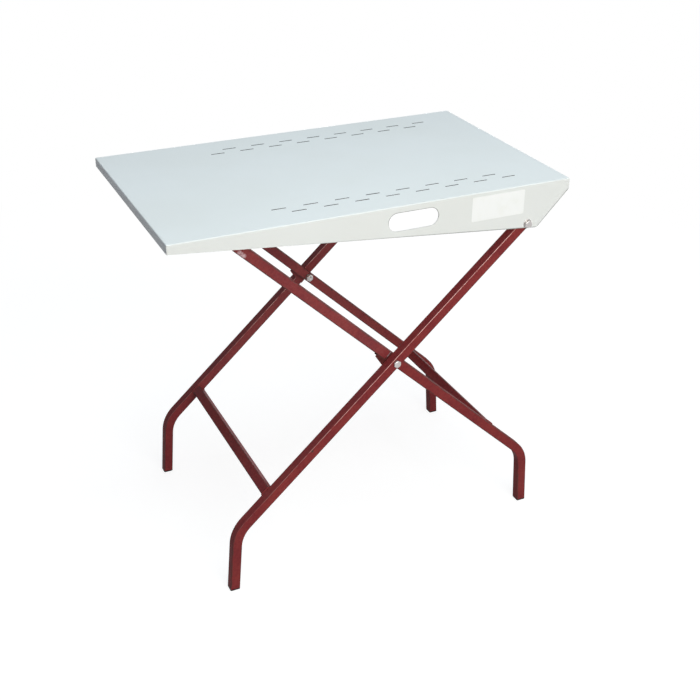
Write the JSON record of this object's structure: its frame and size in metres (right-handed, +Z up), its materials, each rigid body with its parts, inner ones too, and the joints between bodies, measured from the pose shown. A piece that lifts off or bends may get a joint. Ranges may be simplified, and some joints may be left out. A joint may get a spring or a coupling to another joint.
{
  "type": "folding work table",
  "caption": "Folding work table: a folded sheet-steel top with tapered skirts, hand-holes and slot lines, on scissor legs of bent square tube.",
  "frame": {"origin": "on the floor, under the middle of the top", "axes": "+X along the top to the deep end, where the outer legs are hinged; +Y to the rear; +Z up"},
  "size_m": [1, 0.618, 0.958],
  "materials": {
    "white_enamel": "smooth satin enamel",
    "red_enamel": "gloss enamel",
    "zinc_steel": "zinc plated",
    "black_plastic": "moulded, matt"
  },
  "bodies": {
    "outer_legs": {"outer_cross_bar": "red_enamel", "outer_leg_front": "red_enamel", "outer_leg_rear": "red_enamel", "stop_bracket_front": "red_enamel", "stop_bracket_rear": "red_enamel", "outer_foot_front": "black_plastic", "outer_foot_rear": "black_plastic", "outer_end_plug_front": "black_plastic", "outer_end_plug_rear": "black_plastic", "scissor_bolt_front": "zinc_steel", "scissor_bolt_rear": "zinc_steel", "scissor_nut_washer_front": "zinc_steel", "scissor_nut_washer_rear": "zinc_steel", "scissor_nut_front": "zinc_steel", "scissor_nut_rear": "zinc_steel"},
    "inner_legs": {"inner_cross_bar": "red_enamel", "inner_top_bar": "red_enamel", "inner_leg_front": "red_enamel", "inner_leg_rear": "red_enamel", "inner_foot_front": "black_plastic", "inner_foot_rear": "black_plastic", "inner_end_plug_front": "black_plastic", "inner_end_plug_rear": "black_plastic"},
    "table_top": {"table_top": "white_enamel", "top_rail_front": "white_enamel", "top_rail_rear": "white_enamel", "pivot_bolt_front": "zinc_steel", "pivot_bolt_rear": "zinc_steel", "pivot_head_washer_front": "zinc_steel", "pivot_head_washer_rear": "zinc_steel", "pivot_spacer_front": "black_plastic", "pivot_spacer_rear": "black_plastic", "pivot_nut_washer_front": "zinc_steel", "pivot_nut_washer_rear": "zinc_steel", "pivot_nut_front": "zinc_steel", "pivot_nut_rear": "zinc_steel"}
  },
  "joints": [
    {"name": "table_top_hinge", "type": "hinge", "parent": "outer_legs", "child": "table_top", "pos_m": [0.388, 0, 0.86004], "axis": [0, 1, 0], "range_deg": [0, 90]},
    {"name": "scissor_hinge", "type": "hinge", "parent": "outer_legs", "child": "inner_legs", "pos_m": [0.04851, 0, 0.55113], "axis": [0, 1, 0], "range_deg": [0, 90]}
  ],
  "couplings": [
    {"joint": "scissor_hinge", "follows": "table_top_hinge", "ratio": 1}
  ]
}
